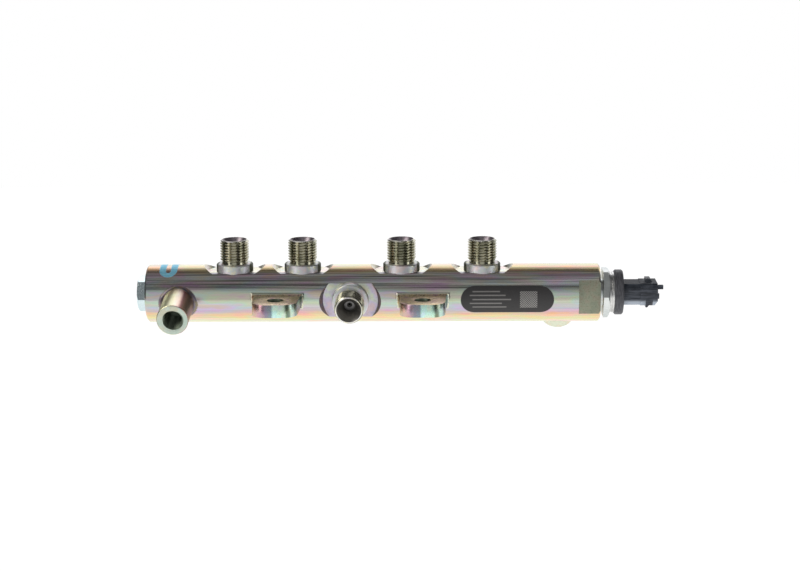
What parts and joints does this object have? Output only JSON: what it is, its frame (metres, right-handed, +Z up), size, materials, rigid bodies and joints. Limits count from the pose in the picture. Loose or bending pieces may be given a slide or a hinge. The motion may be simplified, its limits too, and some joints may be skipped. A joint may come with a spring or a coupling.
{
  "type": "fuel rail",
  "caption": "Forged diesel fuel rail: a thick round tube with threaded pipe ports, a threaded support stub, bolt lugs, an end plug and a pressure sensor with its plug connector.",
  "frame": {"origin": "midway between the two lug holes, on the plane under the lugs where the rail is bolted down", "axes": "+X along the rail towards the pressure sensor, +Z up through the outlets, -Y towards the front, where the lugs and the inlet are"},
  "size_m": [0.2893, 0.0586, 0.0513],
  "materials": {
    "rail_steel": "yellow-passivated zinc over forged steel, satin",
    "throttle_steel": "turned steel",
    "plug_steel": "dark passivated steel",
    "sensor_steel": "bright turned steel",
    "crimp_steel": "bright rolled steel",
    "cell_steel": "fine ground steel",
    "spacer_plastic": "moulded",
    "board_laminate": "green circuit board",
    "chip_plastic": "black moulded package",
    "capacitor_ceramic": "tan ceramic",
    "contact_brass": "plated",
    "seal_rubber": "black",
    "connector_plastic": "black glass-filled plastic"
  },
  "bodies": {
    "root": {"rail_body": "rail_steel", "throttle_outlet_1": "throttle_steel", "throttle_outlet_2": "throttle_steel", "throttle_outlet_3": "throttle_steel", "throttle_outlet_4": "throttle_steel", "throttle_inlet": "throttle_steel", "end_plug": "plug_steel", "sensor_body": "sensor_steel", "sensor_cell": "cell_steel", "sensor_spacer": "spacer_plastic", "sensor_board": "board_laminate", "sensor_chip": "chip_plastic", "sensor_capacitor_1": "capacitor_ceramic", "sensor_capacitor_2": "capacitor_ceramic", "contact_pin_1": "contact_brass", "contact_pin_2": "contact_brass", "contact_pin_3": "contact_brass", "sensor_crimp_sleeve": "crimp_steel", "sensor_o_ring": "seal_rubber", "sensor_housing": "connector_plastic"}
  },
  "joints": []
}
